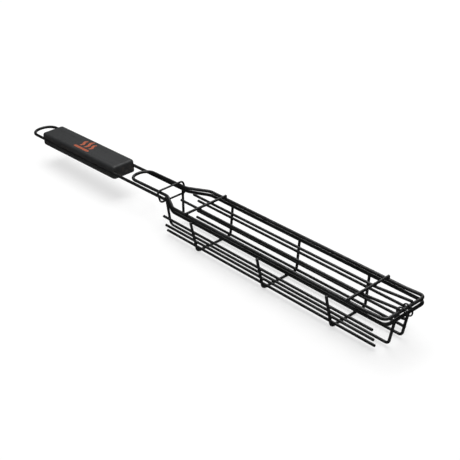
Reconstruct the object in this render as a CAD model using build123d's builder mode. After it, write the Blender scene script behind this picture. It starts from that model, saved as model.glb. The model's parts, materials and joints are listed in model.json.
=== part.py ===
"""A long wire grilling basket for skewered food, with a wooden handle, a hinged lid and a sliding lock ring.

+X runs from the handle to the hinge, +Y to the left, +Z up. The origin is under the middle of the whole
length, on the surface that the basket stands on. Millimetres.
"""
import math
import os

from build123d import *

# --- driving dimensions ---------------------------------------------------------------------------------
overall_length = 564.0
frame_wire = 3.2            # diameter of the base frame and the lid frame
grid_wire = 2.6             # diameter of the ribs, the long wires and the cross wires
lock_wire = 2.0             # diameter of the lock ring's wire
hinge_wire = 1.4            # diameter of the hinge rings' wire
weld_bite = 0.2             # how far two welded wires sink into each other
wire_end_rounding = 0.45    # rounding of a cut wire end under its coating

rim_half_width = 24.0       # from the middle to the centre of a rim wire
rim_height = 34.0           # centre of the base rim above the ground
rim_corner_radius = 5.5
flare_radius = 14.0
neck_angle = 1.0            # how steeply the frame falls from the flare to the hang loop, in degrees

lid_gap_height = 4.2        # from the base rim's centre up to the lid rim's centre
lid_neck_angle = 1.5
lid_end_rise = 1.2          # how much higher the lid frame ends, at the hinge
lid_rise_length = 22.0

hinge_ring_radius = 5.3     # to the centre of its wire
hinge_ring_gap_angle = 5.0
hinge_ring_places = {"left": (2.4, -3.0), "right": (-4.4, 5.0)}     # (y, turn about the vertical in degrees)

base_neck_half_width = 13.3
lid_neck_half_width = 11.9
flare_start_x = -20.2
flare_end_x = 3.0

handle_front_x = -111.7
handle_length = 142.0
handle_width = 28.4
handle_half_thickness = 7.25
handle_seam_gap = 0.15
handle_corner_radius = 4.0
handle_top_rounding = 3.2
handle_bottom_rounding = 2.0
groove_clearance = 0.1

loop_corner_radius = 13.0
lid_loop_tip_x = -86.7
lid_loop_corner_radius = 11.5
lid_flare_lead = 0.8        # how much nearer the handle the lid's flare starts

rib_places = {"rib_handle_end": 33.4, "rib_middle": 127.2, "rib_hinge_end": 213.1}
rib_bottom_half_width = 21.2
rib_leg_overrun = 0.8       # how far a leg reaches above the rim's centre
rib_corner_radius = 4.0

straight_wire_start_x = -16.2
straight_wire_end_x = 260.8
side_wire_upper_height = 21.5
side_wire_lower_height = 10.7

bottom_wire_half_spacing = 8.3
bottom_wire_front_x = -24.6
bottom_wire_rear_x = 265.8
bottom_wire_bend_radius = 4.5
riser_overrun = 1.0         # how far the upturned ends reach above the wires that they are welded to
riser_front_top_x = -25.3

lid_wire_half_spacing = 7.9
lid_wire_start_x = -4.1
lid_wire_bend_x = 237.5     # from here it rises, to end on top of the lid's bar
lid_cross_places = {"lid_cross_handle_end": 25.3, "lid_cross_hinge_end": 235.9}
lid_cross_overhang = 1.7    # past the rim wires' centres

lock_ring_clearance = 0.35  # round the four neck wires
lock_ring_slack = 1.1       # how much lower than that its lower bar hangs
lock_ring_lower_x = -27.9
lock_ring_lean = 3.7        # how much nearer the handle its upper bar is
lock_ring_corner_radius = 3.0

screw_inset = 30.0          # from each end of the handle
screw_shank_diameter = 3.0
screw_head_diameter = 6.4
screw_head_height = 1.9
screw_recess_depth = 2.3
screw_recess_diameter = 7.2
screw_reach = 4.4           # of its tip, into the upper half from the seam
screw_slot_width = 0.9
screw_slot_length = 3.6
screw_slot_depth = 1.0
screw_hole_clearance = 0.1

# --- worked out from them -------------------------------------------------------------------------------
hinge_x = overall_length / 2 - hinge_ring_radius - hinge_wire / 2
loop_x = -overall_length / 2 + frame_wire / 2
neck_slope = math.tan(math.radians(neck_angle))
lid_neck_slope = math.tan(math.radians(lid_neck_angle))
lid_rim_height = rim_height + lid_gap_height
lid_end_height = lid_rim_height + lid_end_rise
lid_rise_x = hinge_x - lid_rise_length
grid_weld = grid_wire - weld_bite
frame_weld = (frame_wire + grid_wire) / 2 - weld_bite
rib_bottom_height = grid_wire / 2
rib_lean = (rim_half_width + frame_weld - rib_bottom_half_width) / (rim_height - rib_bottom_height)
inner_bottom_height = rib_bottom_height + grid_weld
lid_flare_start_x = flare_start_x - lid_flare_lead
lid_loop_height = lid_rim_height + lid_neck_slope * (lid_loop_tip_x - lid_flare_start_x)
lid_cross_height = lid_rim_height + frame_weld
lid_wire_height = lid_cross_height - grid_weld
lid_wire_end_height = lid_end_height + frame_weld


def neck_height(x):
    """Height of the base frame's wires, which fall gently and straight from the flare to the hang loop."""
    return rim_height + neck_slope * (x - flare_start_x)


def rib_leg_y(height):
    """How far from the middle a rib's leg is at a height."""
    return rib_bottom_half_width + rib_lean * (height - rib_bottom_height)


def bent_wire(points, radii, diameter):
    """A round wire along straight runs joined by arcs, with rounded cut ends."""
    with BuildPart() as wire:
        with BuildLine() as route:
            FilletPolyline(*points, radius=radii)
        with BuildSketch(Plane(origin=route.line @ 0, z_dir=route.line % 0)):
            Circle(diameter / 2)
        sweep(path=route.wires()[0])
        fillet(wire.faces().filter_by(GeomType.PLANE).edges(), wire_end_rounding)
    return wire.part


def closed_wire(half_points, radii, diameter):
    """A closed loop of round wire, from its left half, which starts and ends on the middle plane."""
    with BuildPart() as wire:
        with BuildLine() as route:
            FilletPolyline(*half_points, radius=radii)
        with BuildSketch(Plane(origin=route.line @ 0, z_dir=route.line % 0)):
            Circle(diameter / 2)
        sweep(path=route.wires()[0])
        mirror(about=Plane.XZ)
    return wire.part


def straight_wire(start, end, diameter):
    """A round wire with rounded cut ends, straight from one point to another."""
    axis = Vector(*end) - Vector(*start)
    with BuildPart() as wire:
        with BuildSketch(Plane(origin=start, z_dir=axis)):
            Circle(diameter / 2)
        extrude(amount=axis.length)
        fillet(wire.edges().filter_by(GeomType.CIRCLE), wire_end_rounding)
    return wire.part


def write(part, name):
    part.label = name
    export_step(part, f"parts/{name}.step")


os.makedirs("parts", exist_ok=True)

# --- base frame: hinge bar, rim, flare, neck, handle wires and hang loop, one closed wire ----------------
with BuildPart() as base_frame:
    add(
        closed_wire(
            [
                (hinge_x, 0, rim_height),
                (hinge_x, rim_half_width, rim_height),
                (flare_end_x, rim_half_width, rim_height),
                (flare_start_x, base_neck_half_width, rim_height),
                (loop_x, base_neck_half_width, neck_height(loop_x)),
                (loop_x, 0, neck_height(loop_x)),
            ],
            [rim_corner_radius, flare_radius, flare_radius, loop_corner_radius],
            frame_wire,
        )
    )
write(base_frame.part, "base_frame")

# --- lid frame: hinge bar, rim, flare, neck and front loop, one closed wire -------------------------------
with BuildPart() as lid_frame:
    add(
        closed_wire(
            [
                (hinge_x, 0, lid_end_height),
                (hinge_x, rim_half_width, lid_end_height),
                (lid_rise_x, rim_half_width, lid_rim_height),
                (flare_end_x, rim_half_width, lid_rim_height),
                (lid_flare_start_x, lid_neck_half_width, lid_rim_height),
                (lid_loop_tip_x, lid_neck_half_width, lid_loop_height),
                (lid_loop_tip_x, 0, lid_loop_height),
            ],
            [rim_corner_radius, flare_radius, flare_radius, flare_radius, lid_loop_corner_radius],
            frame_wire,
        )
    )
write(lid_frame.part, "lid_frame")

# --- ribs: U-shaped, round the outside of the base ------------------------------------------------------
rib_top_height = rim_height + rib_leg_overrun
for rib_name, rib_x in rib_places.items():
    with BuildPart() as rib:
        add(
            bent_wire(
                [
                    (rib_x, -rib_leg_y(rib_top_height), rib_top_height),
                    (rib_x, -rib_bottom_half_width, rib_bottom_height),
                    (rib_x, rib_bottom_half_width, rib_bottom_height),
                    (rib_x, rib_leg_y(rib_top_height), rib_top_height),
                ],
                rib_corner_radius,
                grid_wire,
            )
        )
    write(rib.part, rib_name)

# --- bottom wires: each runs down from the neck, along the floor and up to the hinge bar ----------------
riser_front_y = base_neck_half_width - frame_weld
riser_front_z = neck_height(riser_front_top_x) + riser_overrun
riser_rear_slope = (hinge_x - frame_weld - bottom_wire_rear_x) / (rim_height - inner_bottom_height)
riser_rear_x = hinge_x - frame_weld * math.hypot(1, riser_rear_slope) + riser_overrun * riser_rear_slope
riser_rear_z = rim_height + riser_overrun
for side_name, side in (("left", 1), ("right", -1)):
    with BuildPart() as bottom_wire:
        add(
            bent_wire(
                [
                    (riser_front_top_x, side * riser_front_y, riser_front_z),
                    (bottom_wire_front_x, side * bottom_wire_half_spacing, inner_bottom_height),
                    (bottom_wire_rear_x, side * bottom_wire_half_spacing, inner_bottom_height),
                    (riser_rear_x, side * bottom_wire_half_spacing, riser_rear_z),
                ],
                bottom_wire_bend_radius,
                grid_wire,
            )
        )
    write(bottom_wire.part, f"bottom_wire_{side_name}")

# --- straight wires inside the ribs: one in each bottom corner, two up each side -------------------------
weld_across = grid_weld * math.hypot(1, rib_lean)     # level distance from a leg to a wire that touches it
corner_centre_z = rib_bottom_height + rib_corner_radius
corner_centre_y = rib_leg_y(corner_centre_z) - rib_corner_radius * math.hypot(1, rib_lean)
corner_reach = (rib_corner_radius - grid_weld) * math.sqrt(0.5)
long_wire_places = {
    "side_wire_upper": (rib_leg_y(side_wire_upper_height) - weld_across, side_wire_upper_height),
    "side_wire_lower": (rib_leg_y(side_wire_lower_height) - weld_across, side_wire_lower_height),
    "corner_wire": (corner_centre_y + corner_reach, corner_centre_z - corner_reach),
}
for wire_name, (wire_y, wire_z) in long_wire_places.items():
    for side_name, side in (("left", 1), ("right", -1)):
        with BuildPart() as long_wire:
            add(
                straight_wire(
                    (straight_wire_start_x, side * wire_y, wire_z),
                    (straight_wire_end_x, side * wire_y, wire_z),
                    grid_wire,
                )
            )
        write(long_wire.part, f"{wire_name}_{side_name}")

# --- lid grid: two long wires under two cross wires -------------------------------------------------------
for side_name, side in (("left", 1), ("right", -1)):
    lid_wire_y = side * lid_wire_half_spacing
    with BuildPart() as lid_wire:
        add(
            bent_wire(
                [
                    (lid_wire_start_x, lid_wire_y, lid_wire_height),
                    (lid_wire_bend_x, lid_wire_y, lid_wire_height),
                    (hinge_x, lid_wire_y, lid_wire_end_height),
                ],
                flare_radius,
                grid_wire,
            )
        )
    write(lid_wire.part, f"lid_wire_{side_name}")

lid_cross_half_length = rim_half_width + lid_cross_overhang
for cross_name, cross_x in lid_cross_places.items():
    with BuildPart() as lid_cross:
        add(
            straight_wire(
                (cross_x, -lid_cross_half_length, lid_cross_height),
                (cross_x, lid_cross_half_length, lid_cross_height),
                grid_wire,
            )
        )
    write(lid_cross.part, cross_name)

# --- hinge rings: round wire rings, open by a hair, that tie the lid's bar to the base's bar --------------
hinge_ring_centre_z = (rim_height + lid_end_height) / 2
for side_name, (ring_y, ring_turn) in hinge_ring_places.items():
    ring_plane = Plane(
        origin=(hinge_x, ring_y, hinge_ring_centre_z),
        x_dir=Vector(1, 0, 0).rotate(Axis.Z, ring_turn),
        z_dir=Vector(0, -1, 0).rotate(Axis.Z, ring_turn),
    )
    with BuildPart() as hinge_ring:
        with BuildSketch(ring_plane * Plane(origin=(0, hinge_ring_radius, 0), z_dir=(1, 0, 0))):
            Circle(hinge_wire / 2)
        revolve(
            axis=Axis(ring_plane.origin, ring_plane.z_dir),
            revolution_arc=360 - hinge_ring_gap_angle,
        )
    write(hinge_ring.part, f"hinge_ring_{side_name}")

# --- lock ring: a closed wire round the four neck wires, leaning towards the handle -----------------------
lock_ring_reach = frame_wire / 2 + lock_wire / 2 + lock_ring_clearance
lock_ring_half_width = base_neck_half_width + lock_ring_reach
lock_ring_upper_x = lock_ring_lower_x - lock_ring_lean
lock_ring_lower_z = neck_height(lock_ring_lower_x) - lock_ring_reach - lock_ring_slack
lid_neck_fall = lid_neck_slope * (lid_flare_start_x - lock_ring_upper_x)
lock_ring_upper_z = lid_rim_height - lid_neck_fall + lock_ring_reach
with BuildPart() as lock_ring:
    add(
        closed_wire(
            [
                (lock_ring_lower_x, 0, lock_ring_lower_z),
                (lock_ring_lower_x, lock_ring_half_width, lock_ring_lower_z),
                (lock_ring_upper_x, lock_ring_half_width, lock_ring_upper_z),
                (lock_ring_upper_x, 0, lock_ring_upper_z),
            ],
            lock_ring_corner_radius,
            lock_wire,
        )
    )
write(lock_ring.part, "lock_ring")

# --- handle: two wooden halves clamped round the frame wires, along which it lies ---------------------------
seam = Plane(
    origin=(handle_front_x, 0, neck_height(handle_front_x)),
    x_dir=(-1, 0, -neck_slope),
    z_dir=(-neck_slope, 0, 1),
)
handle_up = Axis(seam.origin, seam.z_dir)
screw_places = [
    (screw_inset, 0),
    (handle_length - screw_inset, 0),
]


def handle_blank():
    """The whole handle as one block, grooved along both sides for the frame wires."""
    with BuildPart() as blank:
        with BuildSketch(seam.offset(-handle_half_thickness)):
            with Locations((handle_length / 2, 0)):
                RectangleRounded(handle_length, handle_width, handle_corner_radius)
        extrude(amount=2 * handle_half_thickness)
        fillet(blank.edges().group_by(handle_up)[-1], handle_top_rounding)
        fillet(blank.edges().group_by(handle_up)[0], handle_bottom_rounding)
        with BuildSketch(Plane(origin=seam.origin, x_dir=(0, 1, 0), z_dir=seam.x_dir)):
            with Locations((base_neck_half_width, 0), (-base_neck_half_width, 0)):
                Circle(frame_wire / 2 + groove_clearance)
        extrude(amount=handle_length, mode=Mode.SUBTRACT)
    return blank.part


with BuildPart() as handle_upper:
    add(handle_blank())
    split(bisect_by=seam.offset(handle_seam_gap / 2), keep=Keep.TOP)
    with BuildSketch(seam):
        with Locations(*screw_places):
            Circle(screw_shank_diameter / 2 + screw_hole_clearance)
    extrude(amount=screw_reach + screw_hole_clearance, mode=Mode.SUBTRACT)
write(handle_upper.part, "handle_upper")

with BuildPart() as handle_lower:
    add(handle_blank())
    split(bisect_by=seam.offset(-handle_seam_gap / 2), keep=Keep.BOTTOM)
    with BuildSketch(seam.offset(-handle_half_thickness)):
        with Locations(*screw_places):
            Circle(screw_shank_diameter / 2 + screw_hole_clearance)
    extrude(amount=handle_half_thickness, mode=Mode.SUBTRACT)
    with BuildSketch(seam.offset(-handle_half_thickness)):
        with Locations(*screw_places):
            Circle(screw_recess_diameter / 2)
    extrude(amount=screw_recess_depth, mode=Mode.SUBTRACT)
write(handle_lower.part, "handle_lower")

screw_seat = screw_recess_depth - handle_half_thickness     # from the seam, downwards being negative
screw_face = screw_seat - screw_head_height
with BuildPart() as handle_screws:
    with BuildSketch(seam.offset(screw_face)):
        with Locations(*screw_places):
            Circle(screw_head_diameter / 2)
    extrude(amount=screw_head_height)
    fillet(handle_screws.edges().group_by(handle_up)[0], wire_end_rounding)
    with BuildSketch(seam.offset(screw_seat)):
        with Locations(*screw_places):
            Circle(screw_shank_diameter / 2)
    extrude(amount=screw_reach - screw_seat)
    chamfer(handle_screws.edges().group_by(handle_up)[-1], screw_shank_diameter / 3)
    with BuildSketch(seam.offset(screw_face)):
        with Locations(*screw_places):
            Rectangle(screw_slot_length, screw_slot_width)
            Rectangle(screw_slot_width, screw_slot_length)
    extrude(amount=screw_slot_depth, mode=Mode.SUBTRACT)
write(handle_screws.part, "handle_screws")
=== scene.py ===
"""Looks for a long wire grill basket with a black wooden handle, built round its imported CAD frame.

The CAD nodes stay as they are and get detailed materials. This script adds what the CAD leaves out: the
coating pooled round every weld, and the print on the handle.
Metres, in the CAD's own frame: +X from the handle to the hinge, +Y to the left, +Z up.
"""

import json
import math

import bmesh
import bpy
import numpy as np
from mathutils import Matrix, Vector
from mathutils.bvhtree import BVHTree
from mathutils.geometry import intersect_ray_tri

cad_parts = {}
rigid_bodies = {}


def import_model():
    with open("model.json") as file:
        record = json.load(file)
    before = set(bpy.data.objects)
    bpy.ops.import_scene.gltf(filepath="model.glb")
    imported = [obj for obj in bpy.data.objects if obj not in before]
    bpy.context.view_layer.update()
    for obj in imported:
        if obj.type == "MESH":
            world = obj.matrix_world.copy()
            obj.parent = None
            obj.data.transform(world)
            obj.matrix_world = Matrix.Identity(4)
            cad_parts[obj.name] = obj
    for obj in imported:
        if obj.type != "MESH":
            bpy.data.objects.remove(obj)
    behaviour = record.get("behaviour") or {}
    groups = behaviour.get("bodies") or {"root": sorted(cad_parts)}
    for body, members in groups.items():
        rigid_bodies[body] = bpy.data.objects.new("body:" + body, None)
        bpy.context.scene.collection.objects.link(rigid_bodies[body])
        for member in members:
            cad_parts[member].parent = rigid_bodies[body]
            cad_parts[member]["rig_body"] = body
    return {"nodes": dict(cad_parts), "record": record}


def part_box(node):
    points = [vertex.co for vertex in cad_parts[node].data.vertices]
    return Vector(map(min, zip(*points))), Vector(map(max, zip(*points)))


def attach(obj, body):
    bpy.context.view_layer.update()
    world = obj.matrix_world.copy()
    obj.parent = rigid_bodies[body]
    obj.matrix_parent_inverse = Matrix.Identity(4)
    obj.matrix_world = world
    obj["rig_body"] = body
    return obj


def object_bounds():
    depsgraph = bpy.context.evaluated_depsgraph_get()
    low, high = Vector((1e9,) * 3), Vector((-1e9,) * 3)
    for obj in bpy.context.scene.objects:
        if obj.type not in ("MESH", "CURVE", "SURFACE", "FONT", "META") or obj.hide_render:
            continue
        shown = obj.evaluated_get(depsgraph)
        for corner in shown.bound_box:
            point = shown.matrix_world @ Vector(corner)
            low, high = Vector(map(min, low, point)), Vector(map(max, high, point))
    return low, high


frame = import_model()
cad_low, cad_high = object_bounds()
nodes = frame["nodes"]

MM = 0.001

# --- the view -------------------------------------------------------------------------------------
CAMERA_PLACE = Vector((0.7130, -0.5334, 0.5037))
CAMERA_AZIMUTH = math.radians(50.79)     # from straight behind -Y towards +X
CAMERA_ELEVATION = math.radians(29.51)
CAMERA_ROLL = math.radians(-3.46)
LENS = 79.68
SENSOR = 36.0
NEAREST, FARTHEST = 0.01, 50.0

# --- the coating pooled round the welds -----------------------------------------------------------
POOL_PROUD = 0.10 * MM         # how far the pooled coating stands above the wire
POOL_HALF_LENGTH = 3.4 * MM    # along each wire, most of it inside the wire
POOL_BLEND = 0.9 * MM          # how softly the pool fills the corner between two wires
POOL_REACH = 6.0 * MM          # no pool is larger than this
POOL_STEPS = 18                # of the search for its skin, each halving what is left
POOL_FINENESS = 4              # how often the ball that a pool is made from is subdivided
SAME_WELD = 4.0 * MM           # crossings closer together than this are one weld
WELD_SEARCH = 2.6 * MM         # faces nearer to a weld than this tell which way its wires run
WELD_OWNERS = ("rib", "lid_cross", "bottom_wire", "lid_wire", "side_wire", "corner_wire", "base", "lid_frame")

# --- the print on the handle ----------------------------------------------------------------------
PRINT_THICKNESS = 0.09 * MM
PRINT_SINK = 0.05 * MM
PRINT_SHIFT = 1.5 * MM         # from the handle's middle towards the basket
PRINT_LOW_Y = -9.6 * MM
BAR_LENGTH = 28.0 * MM
BAR_WIDTH = 3.4 * MM
BAR_GAP = 2.2 * MM
WAVE_HEIGHT = 14.0 * MM
WAVE_WIDTH = 4.6 * MM
WAVE_SWING = 1.7 * MM
WAVE_SPACING = 8.4 * MM
WAVE_TIP = 0.06                # where on a half wave its width starts, so that its tips aren't points
OUTER_WAVE_SHARE = 0.82        # of the middle wave's height
BAR_SQUARENESS = 12            # the power that rounds only the bar's ends
BAR_TIP = 0.02 * MM            # half the bar's width at its very ends
OUTLINE_STEPS = 40

# --- the studio -----------------------------------------------------------------------------------
FLOOR_SIZE = 7.0
FLOOR_CELLS = 24
FLOOR_DROP = 0.05 * MM         # below the ribs
SOFT_BOXES = (      # name, place, (width, depth), watts
    ("overhead", (-0.25, 0.35, 1.7), (1.5, 1.5), 30.0),
    ("behind_camera", (1.5, -1.4, 1.3), (1.2, 1.2), 3.0),
    ("far_side", (-1.2, 1.7, 0.9), (1.4, 0.8), 4.0),
)
HORIZON_STRENGTH = 0.75        # as bright as the floor is far from the lights, so that its edge hardly shows
ZENITH_STRENGTH = 0.30
HORIZON_TOP = 0.24             # the bright band's height, as the sine of its elevation
ZENITH_FOOT = 0.36             # and where it has faded away


# ==================================================================================================
# Materials
# ==================================================================================================
class Recipe:
    """A node material in the making: a Principled shader, and short calls for the nodes that feed it."""

    def __init__(self, name, **values):
        self.material = bpy.data.materials.new(name)
        self.material.use_nodes = True
        self.tree = self.material.node_tree
        self.tree.nodes.clear()
        output = self.tree.nodes.new("ShaderNodeOutputMaterial")
        self.shader = self.tree.nodes.new("ShaderNodeBsdfPrincipled")
        self.tree.links.new(self.shader.outputs["BSDF"], output.inputs["Surface"])
        for socket, value in values.items():
            self.shader.inputs[socket.replace("_", " ")].default_value = value
        self.place = self.tree.nodes.new("ShaderNodeTexCoord").outputs["Object"]

    def node(self, kind, settings=(), **inputs):
        """A new node. Its inputs are numbers, colours or other nodes' outputs, by socket name or number."""
        made = self.tree.nodes.new(kind)
        for name, value in settings:
            setattr(made, name, value)
        for key, value in inputs.items():
            socket = made.inputs[int(key[1:]) if key[1:].isdigit() else key.replace("_", " ")]
            if isinstance(value, bpy.types.NodeSocket):
                self.tree.links.new(value, socket)
            else:
                socket.default_value = value
        return made

    def stretched(self, scale, turn=(0, 0, 0)):
        """The place on the object, scaled by axis, so that a texture has its own grain direction."""
        mapping = self.node("ShaderNodeMapping", Vector=self.place, Scale=scale, Rotation=turn)
        return mapping.outputs["Vector"]

    def noise(self, scale, detail=4.0, roughness=0.55, distortion=0.0, place=None):
        made = self.node(
            "ShaderNodeTexNoise",
            Vector=place or self.place,
            Scale=scale,
            Detail=detail,
            Roughness=roughness,
            Distortion=distortion,
        )
        return made.outputs["Fac"]

    def cells(self, scale, place):
        return self.node("ShaderNodeTexVoronoi", Vector=place, Scale=scale).outputs["Distance"]

    def span(self, value, low, high, out_low=0.0, out_high=1.0):
        """Maps low..high to out_low..out_high, and holds it there outside."""
        made = self.node("ShaderNodeMapRange", _0=value, _1=low, _2=high, _3=out_low, _4=out_high)
        return made.outputs["Result"]

    def times(self, a, b):
        return self.node("ShaderNodeMath", [("operation", "MULTIPLY")], _0=a, _1=b).outputs["Value"]

    def plus(self, a, b):
        return self.node("ShaderNodeMath", [("operation", "ADD")], _0=a, _1=b).outputs["Value"]

    def blend(self, share, a, b):
        """Colour a where share is 0, colour b where it is 1."""
        made = self.node("ShaderNodeMix", [("data_type", "RGBA")], _0=share, _6=a, _7=b)
        return made.outputs[2]

    def feed(self, socket, value):
        self.tree.links.new(value, self.shader.inputs[socket])

    def bumps(self, *layers):
        """Bump layers of (height, depth in metres), the coarsest first."""
        normal = None
        for height, depth in layers:
            inputs = {"Height": height, "Distance": depth, "Strength": 1.0}
            if normal:
                inputs["Normal"] = normal
            normal = self.node("ShaderNodeBump", **inputs).outputs["Normal"]
        self.feed("Normal", normal)


def grey(level, warmth=0.0):
    """A near-neutral colour, in linear light. Warmth above 0 is browner, and below 0 bluer."""
    return (level * (1 + warmth), level, level * (1 - warmth), 1.0)


def coating(name, level, gloss, peel_depth, bare_share):
    """Black baked-on coating: an orange-peel skin, cloudy gloss, hair scuffs and rubbed specks."""
    recipe = Recipe(name, Specular_IOR_Level=0.42, Coat_Weight=0.18, Coat_Roughness=0.22)
    clouds = recipe.noise(46, detail=5)
    drift = recipe.noise(150, detail=3)
    peel = recipe.noise(1250, detail=2, roughness=0.4)
    grit = recipe.noise(5200, detail=2)
    scuffs = recipe.noise(260, detail=6, roughness=0.7, place=recipe.stretched((0.16, 1, 1)))
    scuffed = recipe.span(scuffs, 0.60, 0.68)
    rubbed = recipe.times(recipe.span(recipe.noise(620, detail=5, roughness=0.65), 0.66, 0.70), bare_share)

    black = recipe.blend(recipe.span(clouds, 0.32, 0.68), grey(level, 0.04), grey(level * 2.6, -0.05))
    dusty = recipe.blend(recipe.times(scuffed, 0.5), black, grey(level * 7, 0.02))
    recipe.feed("Base Color", recipe.blend(rubbed, dusty, grey(0.22, 0.03)))
    recipe.feed("Metallic", recipe.times(rubbed, 0.9))
    cloudy_gloss = recipe.plus(recipe.span(drift, 0.3, 0.7, gloss - 0.06, gloss + 0.07),
                               recipe.times(scuffed, 0.12))
    recipe.feed("Roughness", cloudy_gloss)
    recipe.bumps((peel, peel_depth), (grit, peel_depth * 0.16), (recipe.times(rubbed, -1.0), 0.02 * MM))
    return recipe.material


def stained_wood():
    """Hardwood stained black: growth bands and pores along the handle, and a painted highlight that turns its
    convex edges a little brown, like warm bounce light from the floor.
    """
    recipe = Recipe("stained_wood", Specular_IOR_Level=0.46)
    along = recipe.stretched((0.10, 1, 1))
    bands = recipe.noise(170, detail=3, distortion=0.6, place=recipe.stretched((0.05, 1, 0.6)))
    fibres = recipe.noise(1500, detail=5, roughness=0.7, place=recipe.stretched((0.035, 1, 1)))
    pores = recipe.span(recipe.cells(900, place=along), 0.10, 0.24, 1.0, 0.0)
    open_pores = recipe.times(pores, recipe.span(recipe.noise(120, place=along), 0.42, 0.60))
    patches = recipe.noise(38, detail=3)
    edges = recipe.node("ShaderNodeNewGeometry").outputs["Pointiness"]
    # painted highlight: convex edges, broken up by noise, pick up a warm brown that stands in for the floor's
    # bounce light
    painted_edge_highlight = recipe.times(recipe.span(edges, 0.515, 0.56), recipe.span(recipe.noise(240), 0.45, 0.62))

    stain = recipe.blend(recipe.span(bands, 0.35, 0.65), grey(0.015, -0.05), grey(0.022, -0.05))
    streaked = recipe.blend(recipe.span(fibres, 0.38, 0.66, 0.0, 0.55), stain, grey(0.033, -0.03))
    pored = recipe.blend(recipe.times(open_pores, 0.8), streaked, grey(0.006))
    # the brown here is the painted edge highlight, not a colour of the wood
    recipe.feed("Base Color", recipe.blend(recipe.times(painted_edge_highlight, 0.3), pored, (0.085, 0.062, 0.045, 1.0)))
    sheen = recipe.plus(recipe.span(patches, 0.3, 0.7, 0.47, 0.56), recipe.times(open_pores, 0.2))
    recipe.feed("Roughness", recipe.plus(sheen, recipe.times(fibres, 0.06)))
    recipe.bumps(
        (bands, 0.05 * MM),
        (fibres, 0.05 * MM),
        (recipe.times(open_pores, -1.0), 0.07 * MM),
    )
    return recipe.material


def plated_steel():
    """Zinc-plated screw steel, with fine scratches and a dulled, slightly yellow film."""
    recipe = Recipe("plated_steel", Metallic=1.0)
    film = recipe.noise(420, detail=5)
    scratches = recipe.noise(2600, detail=4, place=recipe.stretched((1, 0.08, 1), (0, 0, 0.6)))
    plated = recipe.blend(recipe.span(film, 0.3, 0.7), (0.42, 0.42, 0.41, 1), (0.50, 0.47, 0.40, 1))
    recipe.feed("Base Color", recipe.blend(recipe.span(scratches, 0.6, 0.72, 0, 0.5), plated, grey(0.62)))
    recipe.feed("Roughness", recipe.span(film, 0.3, 0.7, 0.26, 0.42))
    recipe.bumps((scratches, 0.01 * MM))
    return recipe.material


def printed_ink():
    """Orange ink, printed thin enough for the wood's grain to break it up."""
    recipe = Recipe("printed_ink", Specular_IOR_Level=0.35)
    fibres = recipe.noise(1500, detail=5, roughness=0.7, place=recipe.stretched((0.035, 1, 1)))
    patches = recipe.noise(300, detail=4)
    tone = recipe.blend(recipe.span(patches, 0.3, 0.7), (0.34, 0.072, 0.035, 1), (0.43, 0.110, 0.048, 1))
    thin = recipe.span(fibres, 0.54, 0.70, 0.0, 0.75)
    recipe.feed("Base Color", recipe.blend(thin, tone, grey(0.05, 0.3)))
    recipe.feed("Roughness", recipe.span(patches, 0.3, 0.7, 0.5, 0.62))
    recipe.bumps((fibres, 0.02 * MM))
    return recipe.material


def studio_floor():
    """A light table's white acrylic, lit from below, with a faint mottle."""
    recipe = Recipe("studio_floor", Specular_IOR_Level=0.1, Emission_Color=grey(1.0), Emission_Strength=0.62)
    mottle = recipe.noise(9, detail=4)
    recipe.feed("Base Color", recipe.blend(mottle, grey(0.36), grey(0.40)))
    recipe.feed("Roughness", recipe.span(mottle, 0.3, 0.7, 0.85, 0.95))
    recipe.bumps((recipe.noise(700, detail=3), 0.02 * MM))
    return recipe.material


def paint_cad_nodes(materials):
    """Gives each CAD node the material of its record slot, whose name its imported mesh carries."""
    for node in nodes.values():
        slot_name = node.data.materials[0].name
        node.data.materials.clear()
        node.data.materials.append(materials[slot_name])


# ==================================================================================================
# Coating pools round the welds
# ==================================================================================================
class Wire:
    """A CAD wire node's surface, for finding where it meets another wire, and how it runs there."""

    def __init__(self, name):
        mesh = nodes[name].data
        mesh.calc_loop_triangles()
        self.corners = [v.co.copy() for v in mesh.vertices]
        self.triangles = [tuple(t.vertices) for t in mesh.loop_triangles]
        self.tree = BVHTree.FromPolygons(self.corners, self.triangles)

    def triangle(self, index):
        return [self.corners[i] for i in self.triangles[index]]

    def meets(self, other):
        """The places where two wires bite into each other, one point each."""
        crossings = []
        for mine, theirs in self.tree.overlap(other.tree):
            ours = (self.triangle(mine), other.triangle(theirs))
            crossings += edge_crossings(*ours) + edge_crossings(*reversed(ours))
        groups = []
        for point in crossings:
            near = [g for g in groups if (g[0] - point).length < SAME_WELD]
            if near:
                near[0].append(point)
            else:
                groups.append([point])
        return [sum(group, Vector()) / len(group) for group in groups]

    def run_at(self, point):
        """The wire's direction, centre and radius near a point on it, and how far it runs on, both ways.

        A round wire's normals all stand square to it, and from each place on its skin the centre is one
        radius back along the normal.
        """
        near = self.tree.find_nearest_range(point, WELD_SEARCH)
        normals = np.array([normal for _, normal, _, _ in near])
        skin = np.array([place - point for place, _, _, _ in near])
        axis = np.linalg.eigh(normals.T @ normals)[1][:, 0]
        across = np.eye(3) - np.outer(axis, axis)
        rows = np.vstack([np.column_stack([across, across @ n]) for n in normals])
        solved = np.linalg.lstsq(rows, (skin @ across).ravel(), rcond=None)[0]
        centre = np.array(point) + across @ solved[:3]
        ends = [self.tree.ray_cast(Vector(centre), Vector(way), POOL_HALF_LENGTH)[3] for way in (-axis, axis)]
        return axis, centre, solved[3], [end or POOL_HALF_LENGTH for end in ends]


def edge_crossings(edges_of, through):
    """The points where one triangle's edges pass through another triangle."""
    found = []
    for i in range(3):
        start = edges_of[i - 1]
        along = edges_of[i] - start
        hit = intersect_ray_tri(*through, along, start, True)
        if hit and (hit - start).length <= along.length:
            found.append(hit)
    return found


def spindle(points, run):
    """How far points lie outside a long ellipsoid that swells out of a wire and stays short of its end."""
    axis, centre, radius, (behind, ahead) = run
    offset = points - centre
    along = offset @ axis
    across = np.linalg.norm(offset - np.outer(along, axis), axis=1)
    swollen = radius + POOL_PROUD
    half_length = np.where(along < 0, behind, ahead)
    return (np.hypot(across / swollen, along / half_length) - 1) * swollen


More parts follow.
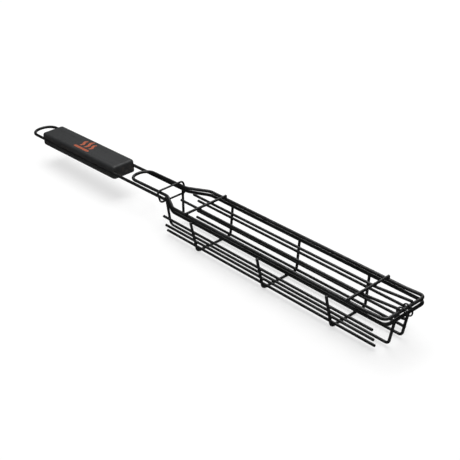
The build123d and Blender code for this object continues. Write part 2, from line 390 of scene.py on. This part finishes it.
def pool_surface(middle, directions, runs):
    """Where rays from the middle of a weld leave two spindles that melt into each other, in the CAD box."""
    low = np.zeros(len(directions))
    high = np.full(len(directions), POOL_REACH)
    for _ in range(POOL_STEPS):
        reach = (low + high) / 2
        points = middle + directions * reach[:, None]
        first, second = (spindle(points, run) for run in runs)
        share = np.clip(0.5 + 0.5 * (second - first) / POOL_BLEND, 0, 1)
        melted = second * (1 - share) + first * share - POOL_BLEND * share * (1 - share)
        inside = melted < 0
        low = np.where(inside, reach, low)
        high = np.where(inside, high, reach)
    return np.clip(middle + directions * low[:, None], cad_low, cad_high)


def ball_template():
    """Directions and faces of a fine ball, which each pool's skin is made from."""
    ball = bmesh.new()
    bmesh.ops.create_icosphere(ball, subdivisions=POOL_FINENESS, radius=1)
    directions = np.array([v.co for v in ball.verts])
    faces = [[v.index for v in f.verts] for f in ball.faces]
    ball.free()
    return directions, faces


def mesh_piece(name, points, faces, material, body):
    """A smooth mesh of the object's, riding on a body."""
    mesh = bpy.data.meshes.new(name)
    mesh.from_pydata([tuple(p) for p in points], [], faces)
    mesh.shade_smooth()
    mesh.materials.append(material)
    piece = bpy.data.objects.new(name, mesh)
    bpy.context.scene.collection.objects.link(piece)
    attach(piece, body)
    return piece


def pool_welds(materials):
    """One piece for each rib, cross wire and so on, with the coating pooled at all of its welds."""
    directions, faces = ball_template()
    wires = {}
    pools = {}
    for pair in frame["record"]["behaviour"]["press_fits"]:
        pair = sorted(pair, key=weld_order)
        for name in pair:
            wires.setdefault(name, Wire(name))
        for middle in wires[pair[0]].meets(wires[pair[1]]):
            runs = [wires[name].run_at(middle) for name in pair]
            pools.setdefault(pair[0], []).append(pool_surface(np.array(middle), directions, runs))
    for owner, skins in pools.items():
        all_faces = [[i + k * len(directions) for i in face] for k in range(len(skins)) for face in faces]
        mesh_piece(
            f"weld_pools_{owner}",
            np.vstack(skins),
            all_faces,
            materials["grid_coating"],
            nodes[owner]["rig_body"],
        )


def weld_order(name):
    """Ribs and cross wires own their welds, then the long wires, and the frames come last."""
    return next(i for i, start in enumerate(WELD_OWNERS) if name.startswith(start))


# ==================================================================================================
# The print on the handle
# ==================================================================================================
def flat_on_handle(outline_pairs, top):
    """The points and faces of a thin slip of ink on the handle's top, from pairs of points across it."""
    points = []
    for left, right in outline_pairs:
        for lift in (PRINT_THICKNESS - PRINT_SINK, -PRINT_SINK):
            for x, y in (left, right):
                ground = top.ray_cast(Vector((x, y, cad_high.z)), Vector((0, 0, -1)))[0]
                points.append((x, y, ground.z + lift))
    faces = []
    for k in range(len(outline_pairs) - 1):
        a, b = 4 * k, 4 * (k + 1)
        faces += [
            (a, a + 1, b + 1, b),
            (a + 2, b + 2, b + 3, a + 3),
            (a, b, b + 2, a + 2),
            (a + 1, a + 3, b + 3, b + 1),
        ]
    last = 4 * (len(outline_pairs) - 1)
    faces += [(0, 2, 3, 1), (last, last + 1, last + 3, last + 2)]
    return points, faces


def wave_outline(middle_x, height):
    """One wavy line of the sign, as pairs of points across it, from the bar's side outwards."""
    pairs = []
    for step in range(OUTLINE_STEPS + 1):
        t = step / OUTLINE_STEPS
        x = middle_x + WAVE_SWING * math.sin(2 * math.pi * t)
        y = PRINT_LOW_Y + BAR_WIDTH + BAR_GAP + height * t
        swell = math.sin(math.pi * (WAVE_TIP + (1 - 2 * WAVE_TIP) * t))
        half = WAVE_WIDTH / 2 * max(swell, 0.0) ** 0.5
        pairs.append(((x - half, y), (x + half, y)))
    return pairs


def bar_outline(middle_x):
    """The bar under the wavy lines, as pairs of points across it, with rounded ends."""
    pairs = []
    for step in range(OUTLINE_STEPS + 1):
        t = 2 * step / OUTLINE_STEPS - 1
        half = BAR_WIDTH / 2 * max(1 - abs(t) ** BAR_SQUARENESS, 0.0) ** 0.5 + BAR_TIP
        x = middle_x + t * BAR_LENGTH / 2
        y = PRINT_LOW_Y + BAR_WIDTH / 2
        pairs.append(((x, y + half), (x, y - half)))
    return pairs


def heat_print(materials):
    """A generic heat sign in the middle of the handle's top: three wavy lines over a rounded bar."""
    mesh = nodes["handle_upper"].data
    top = BVHTree.FromPolygons([v.co for v in mesh.vertices], [tuple(p.vertices) for p in mesh.polygons])
    low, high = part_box("handle_upper")
    middle_x = (low.x + high.x) / 2 + PRINT_SHIFT
    outer = WAVE_HEIGHT * OUTER_WAVE_SHARE
    waves = ((-WAVE_SPACING, outer), (0.0, WAVE_HEIGHT), (WAVE_SPACING, outer))
    outlines = [wave_outline(middle_x + shift, height) for shift, height in waves]
    outlines.append(bar_outline(middle_x))
    points, faces = [], []
    for outline in outlines:
        slip_points, slip_faces = flat_on_handle(outline, top)
        faces += [tuple(i + len(points) for i in face) for face in slip_faces]
        points += slip_points
    piece = mesh_piece("heat_print", points, faces, materials["printed_ink"], "base")
    piece.data.shade_flat()


# ==================================================================================================
# Studio
# ==================================================================================================
def lay_floor():
    """A wide seamless floor, just under the ribs."""
    sheet = bmesh.new()
    bmesh.ops.create_grid(sheet, x_segments=FLOOR_CELLS, y_segments=FLOOR_CELLS, size=FLOOR_SIZE / 2)
    mesh = bpy.data.meshes.new("studio_floor")
    sheet.to_mesh(mesh)
    sheet.free()
    mesh.materials.append(studio_floor())
    floor = bpy.data.objects.new("studio_floor", mesh)
    floor.location = ((cad_low.x + cad_high.x) / 2, 0, cad_low.z - FLOOR_DROP)
    floor.visible_glossy = False
    bpy.context.scene.collection.objects.link(floor)


def hang_lights():
    """A broad soft box overhead, a softer one behind the camera and a low one beyond the object."""
    for name, place, size, power in SOFT_BOXES:
        data = bpy.data.lights.new(name, "AREA")
        data.shape = "RECTANGLE"
        data.size, data.size_y = size
        data.energy = power
        light = bpy.data.objects.new(name, data)
        light.location = place
        light.rotation_mode = "QUATERNION"
        light.rotation_quaternion = Vector(place).to_track_quat("Z", "Y")
        bpy.context.scene.collection.objects.link(light)
    world = bpy.data.worlds.new("studio")
    world.use_nodes = True
    tree = world.node_tree
    direction = tree.nodes.new("ShaderNodeTexCoord").outputs["Generated"]
    split = tree.nodes.new("ShaderNodeSeparateXYZ")
    fade = tree.nodes.new("ShaderNodeMapRange")
    for socket, value in enumerate((HORIZON_TOP, ZENITH_FOOT, HORIZON_STRENGTH, ZENITH_STRENGTH), start=1):
        fade.inputs[socket].default_value = value
    background = tree.nodes["Background"]
    background.inputs["Color"].default_value = grey(1.0)
    tree.links.new(direction, split.inputs["Vector"])
    tree.links.new(split.outputs["Z"], fade.inputs["Value"])
    tree.links.new(fade.outputs["Result"], background.inputs["Strength"])
    world.cycles_visibility.glossy = False
    bpy.context.scene.world = world
    bpy.context.scene.view_settings.view_transform = "Standard"


def set_camera():
    """The camera, from its place, bearing, height and tilt."""
    a, e, r = CAMERA_AZIMUTH, CAMERA_ELEVATION, CAMERA_ROLL
    back = Vector((math.sin(a) * math.cos(e), -math.cos(a) * math.cos(e), math.sin(e)))
    level = Vector((0, 0, 1)).cross(back).normalized()
    upright = back.cross(level)
    right = level * math.cos(r) + upright * math.sin(r)
    up = upright * math.cos(r) - level * math.sin(r)
    data = bpy.data.cameras.new("camera")
    data.lens = LENS
    data.sensor_width = SENSOR
    data.clip_start, data.clip_end = NEAREST, FARTHEST
    camera = bpy.data.objects.new("camera", data)
    turn = Matrix((right, up, back)).transposed().to_quaternion()
    camera.matrix_world = Matrix.LocRotScale(CAMERA_PLACE, turn, None)
    bpy.context.scene.collection.objects.link(camera)
    bpy.context.scene.camera = camera


MATERIALS = {
    "wire_coating": coating("wire_coating", level=0.0070, gloss=0.33, peel_depth=0.10 * MM, bare_share=0.0),
    "grid_coating": coating("grid_coating", level=0.0070, gloss=0.36, peel_depth=0.08 * MM, bare_share=0.0),
    "ring_coating": coating("ring_coating", level=0.0085, gloss=0.30, peel_depth=0.05 * MM, bare_share=0.8),
    "handle_wood": stained_wood(),
    "screw_steel": plated_steel(),
    "printed_ink": printed_ink(),
}
paint_cad_nodes(MATERIALS)
pool_welds(MATERIALS)
heat_print(MATERIALS)
lay_floor()
hang_lights()
set_camera()
